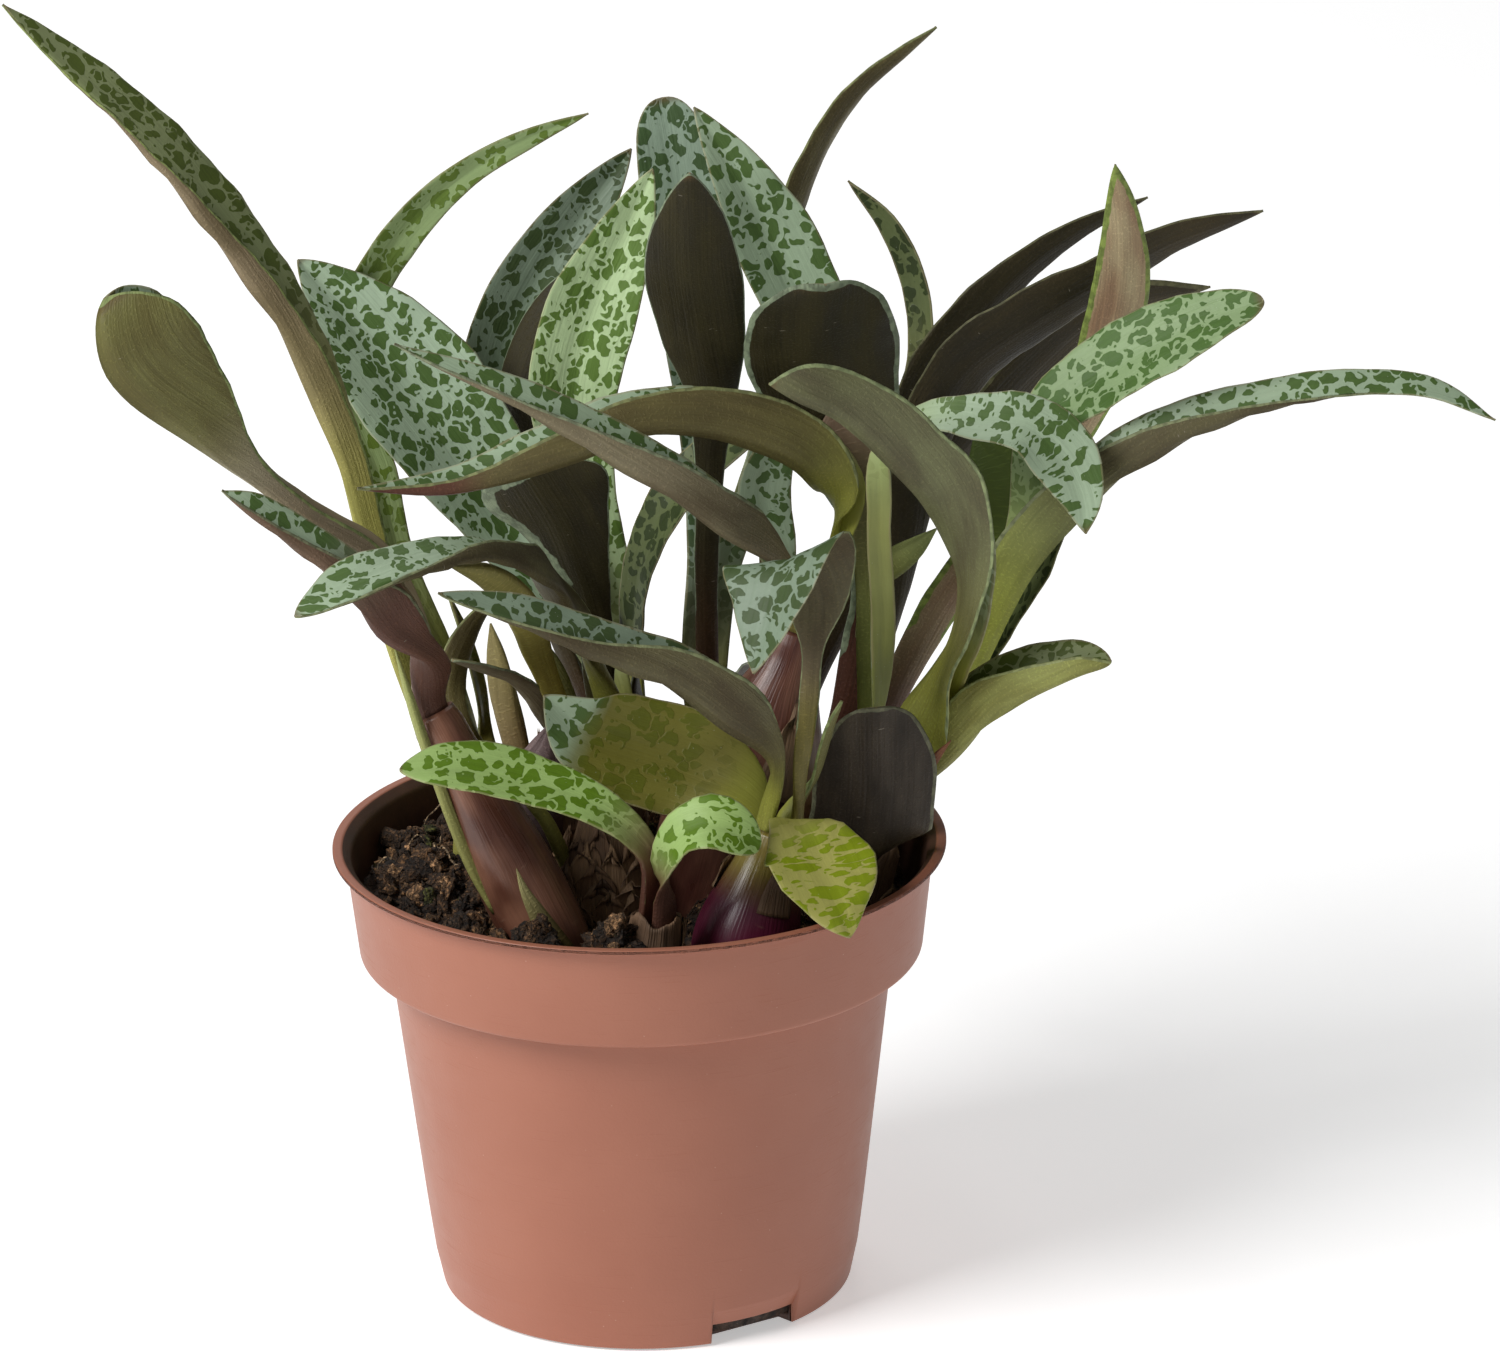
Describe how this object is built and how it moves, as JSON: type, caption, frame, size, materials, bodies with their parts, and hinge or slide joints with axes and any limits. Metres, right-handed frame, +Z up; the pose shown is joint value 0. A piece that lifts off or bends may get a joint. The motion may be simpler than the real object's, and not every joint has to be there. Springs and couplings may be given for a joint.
{
  "type": "potted plant",
  "caption": "Potted silver squill: spotted strap-shaped leaves on purple-brown bulbs in peat, in a round tapered plastic nursery pot with a rolled band.",
  "frame": {"origin": "centre of the pot's flat foot, where it rests", "axes": "+Z up along the pot's axis; -Y towards the picture's viewer; +X to the viewer's right"},
  "size_m": [0.2872, 0.1685, 0.2508],
  "materials": {
    "pot_plastic": "satin",
    "peat": "matte",
    "bulb_skin": "satin",
    "dry_tunic": "matte",
    "leaf": "satin"
  },
  "bodies": {
    "root": {"bulb_centre": "dry_tunic", "bulb_corner": "dry_tunic", "bulb_far": "dry_tunic", "bulb_front": "bulb_skin", "bulb_inner": "dry_tunic", "bulb_left": "bulb_skin", "bulb_main": "bulb_skin", "bulb_old": "dry_tunic", "bulb_papery": "dry_tunic", "bulb_rear": "dry_tunic", "bulb_rear_left": "dry_tunic", "bulb_right": "dry_tunic", "bulb_side": "dry_tunic", "bulb_tall": "dry_tunic", "bulb_tan": "dry_tunic", "leaf_centre_broad": "leaf", "leaf_centre_fan": "leaf", "leaf_centre_strap": "leaf", "leaf_centre_tongue": "leaf", "leaf_corner_shield": "leaf", "leaf_far_long_dark": "leaf", "leaf_far_paddle": "leaf", "leaf_far_rear_right": "leaf", "leaf_far_upright": "leaf", "leaf_front_apron": "leaf", "leaf_front_bud": "leaf", "leaf_front_long_front": "leaf", "leaf_front_stalked": "leaf", "leaf_front_yellow": "leaf", "leaf_inner_blue": "leaf", "leaf_inner_bright": "leaf", "leaf_inner_rear_arch": "leaf", "leaf_inner_shade": "leaf", "leaf_inner_under": "leaf", "leaf_left_hood": "leaf", "leaf_left_spoon": "leaf", "leaf_main_arch": "leaf", "leaf_main_long_arch": "leaf", "leaf_main_wilted": "leaf", "leaf_rear_edge": "leaf", "leaf_rear_far_dark": "leaf", "leaf_rear_left_ribbon": "leaf", "leaf_rear_left_sickle": "leaf", "leaf_rear_left_thin": "leaf", "leaf_rear_rear_droop": "leaf", "leaf_rear_spear": "leaf", "leaf_right_hook": "leaf", "leaf_right_low": "leaf", "leaf_right_whip": "leaf", "leaf_side_crest": "leaf", "leaf_side_shaded": "leaf", "leaf_side_spotted": "leaf", "leaf_slender_tall": "leaf", "leaf_tall_dark": "leaf", "leaf_tall_leaning": "leaf", "leaf_tall_round_top": "leaf", "leaf_tan_low_left": "leaf", "leaf_tan_low_right": "leaf", "pot": "pot_plastic", "soil": "peat"}
  },
  "joints": []
}
